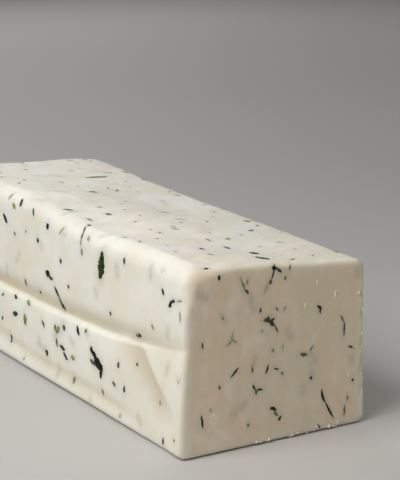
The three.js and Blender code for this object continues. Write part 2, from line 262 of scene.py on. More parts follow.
def loaf_distance(points):
    """Signed distance of each point from the loaf's surface, negative inside."""
    x, s, z = points.T
    top = top_height(x, s)
    left = -x - WIDTH / 2 - side_relief(LEFT_SIDE, s, z, top)
    right = x - WIDTH / 2 - side_relief(RIGHT_SIDE, s, z, top)
    top_radius = np.where(x < 0, TOP_LEFT_RADIUS, TOP_RIGHT_RADIUS)
    radius = np.where(z > LEFT_HEIGHT / 2, top_radius, BASE_RADIUS)
    top_or_base = np.maximum(z - top, base_height(x, s) - z)
    section = round_join(np.maximum(left, right), top_or_base, radius)
    at_corner = smoothstep(z, *CORNER_HEIGHTS) * smoothstep(-x, *CORNER_ACROSS)
    by_cut = round_join(section, -s, mix(CUT_EDGE_RADIUS, CUT_CORNER_RADIUS, at_corner))
    far_relief = BELLY + seam_relief(z - seam_height(x, s), SEAM_DEPTH)
    by_far_end = round_join(section, s - LENGTH - far_relief, FAR_EDGE_RADIUS)
    return np.where(s < LENGTH / 2, by_cut, by_far_end)


def surface_normals(points):
    """Outward directions of the smooth form at each point."""
    slopes = []
    for step in NORMAL_STEP * np.eye(3):
        slopes.append(loaf_distance(points + step) - loaf_distance(points - step))
    normals = np.stack(slopes, axis=1)
    return normals / np.linalg.norm(normals, axis=1, keepdims=True)


def meet_surface(starts, directions, reach):
    """Halves each ray from inside to outside until it meets the smooth form."""
    near = np.zeros(len(starts))
    far = np.full(len(starts), float(reach))
    for _ in range(HALVINGS):
        middle = (near + far) / 2
        inside = loaf_distance(starts + directions * middle[:, None]) < 0
        near = np.where(inside, middle, near)
        far = np.where(inside, far, middle)
    return starts + directions * near[:, None]


def settle(points):
    """Moves points that are near the smooth form onto it."""
    for _ in range(SETTLE_ROUNDS):
        points = points - loaf_distance(points)[:, None] * surface_normals(points)
    return points


def lattice_values(i, j, k, seed):
    """A number from -1 to 1 for each whole-number place. The large factors only scramble its bits."""
    mixed = (i * 374761393 + j * 668265263 + k * 915488749 + seed * 1274126177) & 0xFFFFFFFF
    mixed = ((mixed ^ (mixed >> 13)) * 1103515245) & 0xFFFFFFFF
    return ((mixed ^ (mixed >> 16)) & 0xFFFF) / 32767.5 - 1


def value_noise(points, cell, seed):
    """Smooth noise from -1 to 1. The cell is the size of its lumps, in one number or three."""
    grid = points / np.array(cell, dtype=float)
    base = np.floor(grid).astype(np.int64)
    share = grid - base
    share = share * share * (3 - 2 * share)
    total = np.zeros(len(points))
    for corner in itertools.product((0, 1), repeat=3):
        weights = np.where(corner, share, 1 - share).prod(axis=1)
        total += weights * lattice_values(*(base + corner).T, seed)
    return total


# How far a normal has turned to a face where a point begins to belong to it, and where it does wholly.
FACE_TURN = (0.5, 0.9)


def face_shares(normals):
    """How much each point belongs to the cut face, the top, a long side and the base."""
    cut = smoothstep(-normals[:, 1], *FACE_TURN)
    top = smoothstep(normals[:, 2], *FACE_TURN)
    side = smoothstep(np.abs(normals[:, 0]), *FACE_TURN)
    base = smoothstep(-normals[:, 2], *FACE_TURN)
    return cut, top, side, base


# Fine relief of the film on the moulded faces, and of the knife on the cut face. A cell is the size of
# the lumps across, along and up.
Lumps = namedtuple("Lumps", "height cell seed")
WAVES = Lumps(height=0.2, cell=(11, 15, 11), seed=1)
RIPPLES = Lumps(height=0.07, cell=(3.5, 6, 3.5), seed=2)
DRAPES = Lumps(height=0.24, cell=(30, 7, 45), seed=6)
CUT_WAVES = Lumps(height=0.1, cell=(14, 40, 22), seed=4)

# The sides pucker near the cut, in upright folds that lean a little.
PUCKERS = Lumps(height=0.3, cell=(9, 6.5, 9), seed=3)
PUCKER_LEAN = 0.35
PUCKER_UPRIGHT = 0.25
PUCKERED_ALONG = 18
PUCKERED_REACH = 34

# The top's streaks run aslant.
STREAKS = Lumps(height=0.2, cell=(26, 5, 40), seed=7)
FINE_STREAKS = Lumps(height=0.09, cell=(20, 2.2, 40), seed=8)
STREAK_SLANT = 0.5

# The knife's nicks lie along the right and lower edges of the cut.
NICKS = Lumps(height=1.1, cell=(2.6, 9, 2.6), seed=5)
NICK_ONSET = (0.3, 0.8)  # only where the lumps are higher than this is there a nick
NICK_REACH = 1.6
NICK_END = 3
NICK_FADE = 2.5

# The film's creases on the long sides are crisper than the solid's.
FOLD_HOLLOW = 0.9
FOLD_HOLLOW_REACH = 9
FOLD_HOLLOW_FOOT = (8, 20)  # the hollow runs out between these heights
FOLD_STEEP_WALL = 4
FOLD_ONSET = 22
LEDGE_EDGE = 1.1
LEDGE_RAMP_AT_CUT = 6
LEDGE_GROWS = (5, 60)
SHOULDER_SHARE = 0.46
SHOULDER_REACH = 4.5
SHOULDER_START = 8
SHOULDER_GROWS = (-20, 60)

# On the left side a lobe of film hangs down to the seam, bounded by a fine wrinkle towards the cut.
LOBE_ALONG = 47
LOBE_REACH = 13
LOBE_HEIGHT = 7  # over the seam
LOBE_SPREAD = 6
LOBE_RAISE = 0.9
# how much less painted shade the hollow over the seam gets where the lobe hangs
LOBE_SHADE_LESS = 0.6
WRINKLE_AT_SEAM = 33
WRINKLE_AT_TOP = 26
WRINKLE_LEANS = (50, 76)  # the heights between which it leans towards the cut
WRINKLE_START = 6  # it is fully there at this height over the seam
WRINKLE_END = (70, 82)
WRINKLE_DEPTH = 0.35
WRINKLE_WIDTH = 1.5


def fold_hollow(side, s, z):
    """How much a place belongs to the hollow at the foot of the fold's wall."""
    beyond = beyond_fold(side.fold, s, z)
    reach = bell(np.minimum(beyond, 0), FOLD_HOLLOW_REACH) * (1 - smoothstep(beyond, 0, FOLD_STEEP_WALL))
    below_seam = smoothstep(side_seam_height(side, s) - z, 0, LIP_START)
    return reach * below_seam * smoothstep(z, *FOLD_HOLLOW_FOOT) * smoothstep(s, 0, FOLD_FADE)


def fold_edge(side, s, z):
    """Makes the corner fold's wall steeper, hollows its foot and lets it grow slowly under the seam."""
    below = side_seam_height(side, s) - z
    risen = smoothstep(beyond_fold(side.fold, s, z), 0, FOLD_STEEP_WALL) * smoothstep(s, 0, FOLD_FADE)
    wanted = side.fold.lift * risen * smoothstep(below, 0, FOLD_ONSET)
    return wanted - fold_relief(side.fold, s, z, -below) - FOLD_HOLLOW * fold_hollow(side, s, z)


def ledge_edge(side, s, z):
    """Makes the ledge under the seam crisper than the solid's, with a shoulder that rounds off slowly."""
    below = np.maximum(side_seam_height(side, s) - z, 0)
    depth = mix(side.seam.depth_at_cut, SEAM_DEPTH, smoothstep(s, *SEAM_GROWS))
    shoulder = (1 - np.exp(-below / SHOULDER_REACH)) * bell(np.maximum(0, below - SHOULDER_START), LIP_FADE)
    share = SHOULDER_SHARE * smoothstep(s, *SHOULDER_GROWS)
    ramp = np.exp(-below / LEDGE_RAMP_AT_CUT)
    step = mix(ramp, bell(below, LEDGE_EDGE), smoothstep(s, *LEDGE_GROWS))
    return depth * (share * shoulder - step) - seam_relief(-below, depth)


def lobe_relief(s, z):
    """The lobe of film over the left side's seam and the fine wrinkle that bounds it."""
    over_seam = z - side_seam_height(LEFT_SIDE, s)
    lobe = LOBE_RAISE * bell(s - LOBE_ALONG, LOBE_REACH) * bell(over_seam - LOBE_HEIGHT, LOBE_SPREAD)
    line = mix(WRINKLE_AT_SEAM, WRINKLE_AT_TOP, smoothstep(z, *WRINKLE_LEANS))
    shown = smoothstep(over_seam, 0, WRINKLE_START) * (1 - smoothstep(z, *WRINKLE_END))
    return lobe - WRINKLE_DEPTH * bell(s - line, WRINKLE_WIDTH) * shown


def lumpy(kind, points):
    """Uneven relief of one kind, from minus its height to its height."""
    return kind.height * value_noise(points, kind.cell, kind.seed)


def pucker_relief(points):
    x, s, z = points.T
    leaning = np.stack([x, s + PUCKER_LEAN * z, PUCKER_UPRIGHT * z], axis=1)
    return lumpy(PUCKERS, leaning) * bell(s - PUCKERED_ALONG, PUCKERED_REACH)


def streak_relief(points):
    x, s, z = points.T
    slanting = np.stack([x + STREAK_SLANT * s, s - STREAK_SLANT * x, z], axis=1)
    return lumpy(STREAKS, slanting) + lumpy(FINE_STREAKS, slanting)


def nick_relief(points):
    x, s, z = points.T
    from_edge = np.maximum(np.minimum(WIDTH / 2 - x, z), 0)
    by_edge = bell(from_edge, NICK_REACH) * smoothstep(NICK_END - s, 0, NICK_FADE)
    nicked = smoothstep(value_noise(points, NICKS.cell, NICKS.seed), *NICK_ONSET)
    return -NICKS.height * nicked * by_edge


def skin_relief(points, normals):
    """Height of the small relief over the smooth form."""
    cut, top, side, base = face_shares(normals)
    x, s, z = points.T
    lobe = np.where(x < 0, lobe_relief(s, z), 0)
    on_sides = pucker_relief(points) + lumpy(DRAPES, points) + lobe
    moulded = lumpy(WAVES, points) + lumpy(RIPPLES, points) + on_sides * side + streak_relief(points) * top
    return (moulded * (1 - cut) + lumpy(CUT_WAVES, points) * cut + nick_relief(points)) * (1 - base)


def skin_points(points):
    """Returns points of the smooth form moved out to the skin, and the directions used."""
    normals = surface_normals(points)
    return points + normals * skin_relief(points, normals)[:, None], normals


def edge_stops():
    """Places in an edge band, close together at the edge."""
    shares = np.linspace(0, 1, EDGE_CELLS + 1)
    return BAND * shares**EDGE_GROWTH


def stops_between(low, high, cell):
    """Even places from just after the low end to the high end."""
    return np.linspace(low, high, max(2, round((high - low) / cell)) + 1)[1:]


def straight_stops(length):
    edge = edge_stops()
    middle = stops_between(BAND, length - BAND, CELL)
    return np.concatenate([edge, middle, (length - edge)[::-1][1:]])


def up_stops():
    """Heights of the grid lines, each as a constant, a share of the seam's height and of the top's."""
    edge = edge_stops()
    lower = stops_between(0, 1, CELL / LOWER_FIELD)
    crease = stops_between(-SEAM_BELOW, SEAM_ABOVE, SEAM_CELL)
    upper = stops_between(0, 1, CELL / UPPER_FIELD)
    rows = [(e, 0, 0) for e in edge]
    rows += [(BAND * (1 - f) - SEAM_BELOW * f, f, 0) for f in lower]
    rows += [(c, 1, 0) for c in crease]
    rows += [(SEAM_ABOVE * (1 - f) - BAND * f, 1 - f, f) for f in upper]
    rows += [(-e, 0, 1) for e in edge[::-1][1:]]
    return np.array(rows)


def box_grid(shape):
    """Numbers the points on the faces of a box of cells. Returns their places and the quads."""
    on_face = np.zeros(shape, dtype=bool)
    for axis in range(3):
        for end in (0, -1):
            on_face[tuple(end if a == axis else slice(None) for a in range(3))] = True
    places = np.argwhere(on_face)
    numbers = np.full(shape, -1)
    numbers[on_face] = np.arange(len(places))
    quads = []
    for axis in range(3):
        for end in (0, -1):
            g = np.take(numbers, end, axis=axis)
            ring = np.stack([g[:-1, :-1], g[1:, :-1], g[1:, 1:], g[:-1, 1:]], axis=-1).reshape(-1, 4)
            inward = (axis == 1) == (end == -1)
            quads.append(ring[:, ::-1] if inward else ring)
    return places, np.concatenate(quads)


def loaf_grid():
    """Points on the smooth form and the quads between them."""
    across = straight_stops(WIDTH) - WIDTH / 2
    along = straight_stops(LENGTH)
    up = up_stops()
    places, quads = box_grid((len(across), len(along), len(up)))
    x = across[places[:, 0]]
    s = along[places[:, 1]]
    top = top_height(x, s)
    z = (up[places[:, 2]] * np.stack([np.ones(len(x)), seam_height(x, s), top], axis=1)).sum(axis=1)
    inner = np.stack(
        [
            np.clip(x, BAND - WIDTH / 2, WIDTH / 2 - BAND),
            np.clip(s, BAND, LENGTH - BAND),
            np.clip(z, BAND, top - BAND),
        ],
        axis=1,
    )
    outward = np.stack([x, s, z], axis=1) - inner
    outward /= np.linalg.norm(outward, axis=1, keepdims=True)
    return meet_surface(inner, outward, 3 * BAND), quads


# Pepper strokes that can be told apart in the photograph. Each is the place of its middle across and up
# its face, its length and width, and how many degrees it leans from up towards across. On the left
# side across runs away from the cut end, and on the top up does.
CUT_MARKS = {
    "black": [
        (45.5, 81.4, 3, 2, -70),
        (45, 79.5, 7, 1, 17),
        (43.4, 75.2, 2.2, 1.5, 0),
        (31, 72.5, 3, 1.1, -40),
        (41.2, 58.2, 2.6, 1.8, 80),
        (42.6, 57.6, 5, 1.9, -60),
        (44.2, 56.4, 4.2, 2, -35),
        (42.2, 58.6, 2.4, 1.1, 25),
        (44.7, 57.8, 2.2, 1, 60),
        (46.6, 53.6, 5, 0.8, -28),
        (70, 59.8, 3.2, 1.5, -55),
        (70.3, 58.2, 3, 1.1, -10),
        (84, 47.5, 7.2, 1, 0),
        (25, 36.6, 5.6, 1.1, 45),
        (42, 35.2, 4.6, 1, 18),
        (8.2, 16.8, 6, 1.2, -8),
        (45.6, 15.8, 3.8, 1.8, -65),
        (49.2, 10.8, 2.4, 1.5, 30),
        (66, 27, 1.7, 1.3, 0),
        (73.2, 17, 7.5, 1.3, -18),
        (76.8, 9.6, 9.5, 1.1, -30),
        (89.5, 22, 1.4, 1.1, 30),
        (12, 85, 2.2, 1, 88),
        (88, 38.2, 3, 1, -65),
    ],
    "green": [
        (48, 80, 3.4, 1.3, -45),
        (53.6, 80.4, 2.4, 1, 30),
        (51.3, 75.9, 1.8, 0.9, 0),
        (16.8, 80.8, 2.6, 1.4, 0),
        (8.5, 51.5, 3, 0.9, 0),
        (82.8, 52.5, 3.4, 0.9, -25),
        (61.8, 39, 4.2, 1.7, -75),
        (66, 41, 3, 0.9, 35),
        (34.3, 36.3, 3, 0.9, 0),
        (35.4, 27.8, 3.4, 1.2, -28),
        (36.4, 25.6, 2.4, 1.2, 0),
        (38.2, 26.2, 3.4, 1.1, -85),
        (17.2, 31, 2.2, 1, -10),
        (47.2, 13.4, 3.4, 1.4, -35),
        (85.2, 8, 5.4, 1.1, 5),
        (32.2, 10.8, 1.8, 1.4, 0),
        (70.8, 2.8, 3, 1.2, -40),
        (47, 34.6, 2.8, 0.9, -70),
        (46.9, 62.3, 2, 0.9, -35),
        (38.2, 63.1, 2.2, 1, 0),
        (86.8, 13.9, 2.2, 0.8, -8),
    ],
    "olive": [
        (28.8, 76.4, 7, 1.1, -22),
        (31.4, 77.1, 2.8, 0.8, 12),
        (41, 72.5, 4.4, 0.9, 25),
        (23.5, 53, 4.6, 0.9, 12),
        (22, 50.4, 3, 0.8, 50),
        (24.8, 51, 2.6, 0.8, -45),
        (45, 43.5, 1.8, 1.5, 0),
        (50.3, 44, 2.6, 0.9, 0),
        (12.6, 21.4, 1.7, 1, -20),
        (50.2, 32, 1.8, 1.3, -45),
        (51.1, 62.1, 1.8, 0.8, 40),
        (18.9, 62.2, 1.2, 1, 0),
        (39.1, 53.4, 1.2, 0.9, 0),
    ],
    # Pale bits coloured near white: partly their own pale tone, partly a painted glint.
    "pale": [
        (68.6, 71.4, 2.6, 1.1, 5),
        (79, 64.7, 4, 1.4, 12),
        (62.2, 61.8, 2.4, 1.1, 10),
        (86.8, 24.9, 2, 1, 60),
        (13.6, 18.6, 2.8, 1, 70),
    ],
    "veiled": [
        (8.5, 73.5, 4, 2.4, -65),
        (34, 66.5, 4.5, 3, -30),
        (19.5, 62, 3, 1.6, -30),
        (54, 50, 4, 2.4, -15),
        (67.5, 36.5, 4.4, 1.2, -35),
        (30, 20.5, 3.4, 2.2, 60),
        (24.7, 16.9, 2.2, 1.6, 0),
        (66.3, 30.5, 5, 2.6, 0),
        (61.7, 22.4, 2.6, 1.4, 0),
        (88.7, 31.5, 2.4, 1.6, 0),
        (35.4, 40.4, 3.2, 1.2, 15),
    ],
}
LEFT_MARKS = {
    "black": [
        (82, 29.4, 3.6, 3, 35),
        (79, 27.4, 6.4, 3.2, 50),
        (75, 25.4, 7.4, 3, 60),
        (80.8, 23.6, 5.2, 2.2, 72),
        (76.4, 23.6, 6.6, 3, 60),
        (72.6, 23.6, 5, 4, 30),
        (72.4, 20.6, 5.6, 3, -20),
        (132, 79.3, 3, 3.4, -10),
        (131.4, 55.6, 4.6, 3.6, 78),
        (128.4, 54.4, 6, 1.9, 84),
        (122.3, 48, 6.2, 2, 30),
        (120.9, 43.4, 7.6, 1.5, 10),
        (119, 40.8, 4.6, 2, 48),
        (119.6, 41.6, 2.6, 3, 30),
        (142.8, 43.1, 1.8, 1.7, 0),
        (18.5, 72.6, 3, 2, 30),
        (11.8, 68.6, 3.8, 2.4, -35),
        (9.6, 70.4, 3.4, 1.8, -70),
        (97.2, 35, 5.2, 2.4, 40),
        (109.4, 19, 5.2, 2.2, 60),
        (181, 74, 6, 3, 50),
        (40, 47.4, 2.2, 2.4, 20),
    ],
    "green": [
        (75.5, 72, 13.4, 5.6, -9),
        (75.8, 71.4, 9, 6.4, -6),
        (99.8, 83.4, 5, 1, 62),
        (97.6, 81.4, 3.4, 1.3, 30),
        (165, 85, 4, 2.4, 30),
        (42.4, 46.6, 1.8, 2.4, 0),
        (117.7, 64.8, 2.4, 2.6, 15),
        (142.8, 70, 2.4, 2.6, 30),
        (159, 44.6, 4.2, 1.9, -15),
        (168.2, 35, 3.8, 2, 75),
        (166.3, 26.5, 5.4, 2.8, -82),
        (134, 29.2, 4.6, 2.1, 55),
        (121.4, 30.6, 2.6, 2, 20),
        (112, 32.6, 3, 2.6, 65),
        (129.7, 15.2, 3.2, 3.2, 35),
        (118.9, 23.4, 4.2, 2, 20),
        (112.8, 22.4, 6, 2.2, 80),
        (59.9, 18.9, 3.4, 2, 70),
        (50.1, 19.2, 3.6, 1.9, -10),
        (55.5, 29.4, 3.2, 2.2, -20),
        (172, 11.7, 4.2, 2.8, 8),
        (109, 54, 2, 1.9, 20),
        (66.4, 50.9, 2, 1.8, 20),
        (53.7, 78.8, 3, 2, 20),
        (89.9, 36.7, 2, 1.8, 10),
        (39.5, 34, 1.6, 1.8, 0),
    ],
    "olive": [
        (96.6, 78.8, 3.6, 1.5, 14),
        (95.1, 74.2, 3.6, 2.2, 15),
        (91.3, 81.3, 3.4, 1.8, 60),
        (171, 82.4, 4.2, 2.4, 65),
        (3.6, 65, 4.6, 1.6, 10),
        (152.7, 35.4, 4.4, 2.8, 72),
        (154.6, 26.4, 5.8, 4, 24),
        (101.2, 20.2, 3.8, 2.6, 88),
        (101.4, 9, 3.8, 3, -20),
        (71.8, 11.4, 3.2, 2.2, 15),
        (19, 21.8, 2.2, 1.5, 10),
        (118.8, 30, 5, 3, -50),
        (3.2, 36.2, 2, 1.3, 14),
        (4.6, 71.7, 3.4, 1, -70),
    ],
    "pale": [
        (3.3, 37.6, 4, 2.4, 14),
        (20.5, 82, 2.8, 2, 0),
        (18, 40.6, 2.4, 1.6, 20),
    ],
    "veiled": [
        (138.4, 67.9, 2.6, 1.4, 38),
        (80.5, 57.5, 3, 1.8, 32),
        (87.8, 35.6, 3, 1.6, 63),
        (117, 30, 9, 5, -50),
        (137.4, 19.4, 4.2, 1.5, 44),
        (135.9, 16.6, 8.6, 1.5, 83),
        (102.9, 28.2, 4.8, 1.6, 64),
        (60.1, 72.7, 3.6, 2.6, 22),
        (180.4, 45.8, 3.6, 1.8, -9),
        (12.7, 39.2, 4, 1.6, 0),
        (29.7, 78.9, 5, 2, 0),
        (36.3, 8.6, 3, 2, 30),
    ],
}
TOP_MARKS = {
    "black": [
        (49.8, 23, 4.4, 3.8, -55),
        (46.5, 11.3, 7, 3.4, -35),
    ],
    "green": [
        (25.2, 117, 3, 2.8, -42),
        (29.4, 35, 3.2, 2.4, -3),
        (43.4, 36, 4.2, 2.2, -10),
        (9.4, 129.7, 5, 2.2, -61),
        (60, 7, 3, 1.8, 60),
    ],
    "olive": [
        (65.4, 207, 14, 3.6, 84),
        (41.7, 165, 5, 3.2, 85),
        (1.2, 178.6, 3, 1.5, -67),
    ],
    # Pale bits coloured near white: partly their own pale tone, partly a painted glint.
    "pale": [
        (55, 4.5, 3, 2, 70),
        (58, 22, 4, 2, 80),
        (52, 12, 2, 1.6, 0),
    ],
    "veiled": [
        (35.5, 214, 5, 4, -41),
        (44.3, 213.4, 6, 4, -53),
        (22.2, 166.6, 9, 3, -60),
        (4.5, 153, 6, 3.4, -17),
        (9.3, 125.4, 9, 2, 83),
    ],
}

# Flecks that are scattered by a seeded rule, clear of the marks.
RANDOM_SEED = 11
TONE_SHARES = {"black": 0.24, "green": 0.34, "olive": 0.18, "veiled": 0.24}
MARK_CLEARANCE = 12.5
EDGE_CLEARANCE = 3
CELL_SHARES = (0.05, 0.95)  # where in its cell a fleck may lie
SCATTERED_SHORT = 1.3
SCATTERED_LONG = 5.6
SCATTERED_WIDTHS = (0.8, 2.2)
WIDTH_OF_LENGTH = 0.7  # a scattered fleck is no wider than this share of its length
LEAN_SPREAD = 50

# A few flecks are big, on faces with no marks.
BIG_FLECK_SHARE = 0.05
BIG_LENGTHS = (7, 13)
BIG_WIDTHS = (1.8, 4.4)

# The film is coloured darker in its hollows: over the seam, by the left fold and in the rim's groove. This is
# painted shade, together with some of the film's own tan tone.
TUCK_SHADE_STRENGTH = 0.75
SHADE_AT_CUT = 0.45
SHADE_GROWS = (8, 60)
SHADE_ABOVE_SEAM = 2
SHADE_REACH = 5
SHADE_REACH_AT_CUT = 3
SHADE_EDGE = (-1.2, 0.4)  # the tint begins between these heights over the crease
GROOVE_SHADE_SHARE = 0.55
GROOVE_SHADE_LIFT = 0.5  # it lies a little higher than the groove

# Near its edges the cut is coloured with the film's paler tone: partly the film over the rounded edge, partly
# a painted highlight along the edges. A point is on the cut once it has turned this far.
EDGE_HIGHLIGHT_AND_FILM = 0.7
EDGE_HIGHLIGHT_AND_FILM_REACH = 3.2
CUT_TURN = (0.35, 0.85)

# A fleck's section: it stands just clear of the skin, and its keel is sunk in the cheese.
FLECK_MIDDLE = 0.13
FLECK_RIM = 0.03
FLECK_KEEL = 0.7
FLECK_RINGS = 10

# A fleck's outline has blunt tips, bends a little and is ragged.
FLECK_TIP = 0.04
FLECK_BLUNTNESS = 0.55
FLECK_BEND = 0.03
FLECK_RAGGED = (0.64, 1.26)
SHORTEST_RUN = 0.01  # keeps a fleck of no length from dividing by zero

# A thin film of cheese covers a narrow fleck by a share of its own, and more at its tips.
FILM_MOST = {"black": 0.12, "green": 0.2, "olive": 0.3, "pale": 0}
FILM_AT_TIPS = 0.22
FILM_WIDTH = 3.2  # flecks as wide as this are bare

# Each fleck stains the cheese round it, and a veiled one lies under the surface and is only a stain.
STAIN_REACH = 0.9
STAIN_OF_TONE = {"black": 0.2, "green": 0.22, "olive": 0.2, "pale": 0, "veiled": 0.36}

Face = namedtuple("Face", "corner across up outward size spacing marks")
Stroke = namedtuple("Stroke", "start end width tone")

ACROSS = np.array([1, 0, 0])
ALONG = np.array([0, 1, 0])
UP = np.array([0, 0, 1])
LEFT_CORNER = np.array([-WIDTH / 2, 0, 0])
RIGHT_CORNER = np.array([WIDTH / 2, 0, 0])
TOP_CORNER = LEFT_CORNER + RIGHT_HEIGHT * UP
FAR_CORNER = LEFT_CORNER + LENGTH * ALONG
FACES = [
    Face(LEFT_CORNER, ACROSS, UP, -ALONG, size=(WIDTH, RIGHT_HEIGHT), spacing=16, marks=CUT_MARKS),
    Face(LEFT_CORNER, ALONG, UP, -ACROSS, size=(LENGTH, LEFT_HEIGHT), spacing=13, marks=LEFT_MARKS),
    Face(TOP_CORNER, ACROSS, ALONG, UP, size=(WIDTH, LENGTH), spacing=16, marks=TOP_MARKS),
    Face(RIGHT_CORNER, ALONG, UP, ACROSS, size=(LENGTH, RIGHT_HEIGHT), spacing=12.5, marks={}),
    Face(FAR_CORNER, ACROSS, UP, ALONG, size=(WIDTH, RIGHT_HEIGHT), spacing=12.5, marks={}),
    Face(LEFT_CORNER, ACROSS, ALONG, -UP, size=(WIDTH, LENGTH), spacing=15, marks={}),
]


def face_strokes(face, tone, rows):
    """Strokes of one tone, carried from the face's plane out to the smooth form."""
    table = np.array(rows, dtype=float)
    middles = face.corner + table[:, :1] * face.across + table[:, 1:2] * face.up
    angles = np.radians(table[:, 4:])
    halves = (np.cos(angles) * face.up + np.sin(angles) * face.across) * table[:, 2:3] / 2
    ends = []
    for points in (middles - halves, middles + halves):
        inner = points - BAND * face.outward
        outward = np.broadcast_to(face.outward, inner.shape)
        ends.append(meet_surface(inner, outward, 3 * BAND))
    return [Stroke(a, b, width, tone) for a, b, width in zip(*ends, table[:, 3])]


def scattered_marks(face, random):
    """Places flecks by chance, at most one in each cell of a loose grid that no mark is near."""
    marked = np.array([row[:2] for rows in face.marks.values() for row in rows]).reshape(-1, 2)
    cells = [round(span / face.spacing) for span in face.size]
    tones = list(TONE_SHARES)
    rows = {tone: [] for tone in tones}
    for cell in itertools.product(range(cells[0]), range(cells[1])):
        place = (np.array(cell) + random.uniform(*CELL_SHARES, 2)) / cells * face.size
        tone = random.choice(tones, p=list(TONE_SHARES.values()))
        length = mix(SCATTERED_SHORT, SCATTERED_LONG, random.random() ** 2)
        width = min(random.uniform(*SCATTERED_WIDTHS), WIDTH_OF_LENGTH * length)
        lean = random.normal(0, LEAN_SPREAD)
        if not len(marked) and random.random() < BIG_FLECK_SHARE:
            length = random.uniform(*BIG_LENGTHS)
            width = random.uniform(*BIG_WIDTHS)
        from_edge = min(*place, *(face.size - place))
        near_mark = len(marked) and np.linalg.norm(marked - place, axis=1).min() < MARK_CLEARANCE
        if from_edge > EDGE_CLEARANCE and not near_mark:
            rows[tone].append((*place, length, width, lean))
    return rows


def all_strokes(random):
    strokes = []
    for face in FACES:
        for marks in (face.marks, scattered_marks(face, random)):
            for tone, rows in marks.items():
                if rows:
                    strokes += face_strokes(face, tone, rows)
    return strokes


def fleck_lines(strokes, share, profile, random):
    """The left edge, middle and right edge of each fleck, near the smooth form."""
    starts = np.array([s.start for s in strokes])
    ends = np.array([s.end for s in strokes])
    widths = np.array([s.width for s in strokes])
    run = ends - starts
    lengths = np.linalg.norm(run, axis=1)
    outward = surface_normals((starts + ends) / 2)
    sideways = np.cross(outward, run / np.maximum(lengths, SHORTEST_RUN)[:, None])
    bend = random.normal(0, FLECK_BEND, len(strokes)) * lengths
    arch = 4 * share * (1 - share)
    middles = starts[:, None] + run[:, None] * share[:, None]
    middles += (bend[:, None] * arch)[..., None] * sideways[:, None]
    ragged = random.uniform(*FLECK_RAGGED, (2, len(strokes), FLECK_RINGS))
    half = widths[:, None] / 2 * profile
    left = middles - sideways[:, None] * (half * ragged[0])[..., None]
    right = middles + sideways[:, None] * (half * ragged[1])[..., None]
    return left, middles, right


def fleck_faces(count):
    """The quads of closed flecks whose points lie in rings of four."""
    ring = np.arange(4)
    after = (ring + 1) % 4
    first = np.arange(FLECK_RINGS - 1)[:, None] * 4
    walls = np.stack([first + ring, first + after, first + 4 + after, first + 4 + ring], axis=-1)
    last = 4 * (FLECK_RINGS - 1)
    tips = [[3, 2, 1, 0], [last, last + 1, last + 2, last + 3]]
    faces = np.concatenate([walls.reshape(-1, 4), tips])
    offsets = np.arange(count)[:, None, None] * 4 * FLECK_RINGS
    return (faces + offsets).reshape(-1, 4)


def fleck_film(strokes, film_most, profile, random):
    """How much the film veils each ring of each fleck."""
    widths = np.array([s.width for s in strokes])[:, None]
    film = film_most * random.random((len(strokes), 1)) ** 2 + FILM_AT_TIPS * (1 - profile)
    return film * (1 - smoothstep(widths, FILM_WIDTH / 2, FILM_WIDTH))


def fleck_mesh(strokes, film_most, random):
    """Closed thin flecks that follow the skin: their points, faces and film."""
    share = np.linspace(0, 1, FLECK_RINGS)
    profile = np.sin(np.pi * mix(FLECK_TIP, 1 - FLECK_TIP, share)) ** FLECK_BLUNTNESS
    left, middles, right = fleck_lines(strokes, share, profile, random)
    section = [(left, FLECK_RIM), (middles, FLECK_MIDDLE), (right, FLECK_RIM), (middles, -FLECK_KEEL)]
    rows = []
    for line, lift in section:
        skin, normals = skin_points(settle(line.reshape(-1, 3)))
        rows.append(skin + normals * lift)
    points = np.stack(rows, axis=1).reshape(-1, 3)
    film = fleck_film(strokes, film_most, profile, random)
    return points, fleck_faces(len(strokes)), np.repeat(film.ravel(), len(section))


def stain_values(points, strokes):
    """How strongly each point is stained by the flecks near it."""
    stain = np.zeros(len(points))
    for stroke in strokes:
        run = stroke.end - stroke.start
        offset = points - stroke.start
        share = np.clip(offset @ run / max(run @ run, SHORTEST_RUN), 0, 1)
        distance = np.linalg.norm(offset - share[:, None] * run, axis=1)
        reach = STAIN_REACH + stroke.width / 2
        stain += STAIN_OF_TONE[stroke.tone] * bell(distance, reach)
    return 1 - np.exp(-stain)


def cut_values(points, normals):
    """How much each point shows the cut paste. Near the cut's edges the paler film tone runs on, partly as
    the film itself and partly as a painted highlight.
    """
    x, s, z = points.T
    from_side = WIDTH / 2 - np.abs(x)
    from_edge = np.minimum(from_side, np.minimum(z, top_height(x, s) - z))
    bare = 1 - EDGE_HIGHLIGHT_AND_FILM * bell(np.maximum(from_edge, 0), EDGE_HIGHLIGHT_AND_FILM_REACH)
    return bare * smoothstep(-normals[:, 1], *CUT_TURN)


def tucked_shade_values(points):
    """How much painted shade each point gets in the hollow over the seam, by the left fold or in the rim's
    groove.
    """
    x, s, z = points.T
    above = z - seam_height(x, s)
    by_lobe = np.where(x < 0, LOBE_SHADE_LESS * bell(s - LOBE_ALONG, LOBE_REACH), 0)
    grown = smoothstep(s, *SHADE_GROWS)
    over_seam = bell(above - SHADE_ABOVE_SEAM * grown, mix(SHADE_REACH_AT_CUT, SHADE_REACH, grown))
    over_seam *= smoothstep(above, *SHADE_EDGE) * (1 - by_lobe) * mix(SHADE_AT_CUT, 1, grown)
    by_fold = np.where(x < 0, fold_hollow(LEFT_SIDE, s, z), 0)
    in_groove = GROOVE_SHADE_SHARE * rim_groove(s, z - GROOVE_SHADE_LIFT)[1]
    return TUCK_SHADE_STRENGTH * np.maximum(np.maximum(over_seam, by_fold), in_groove)


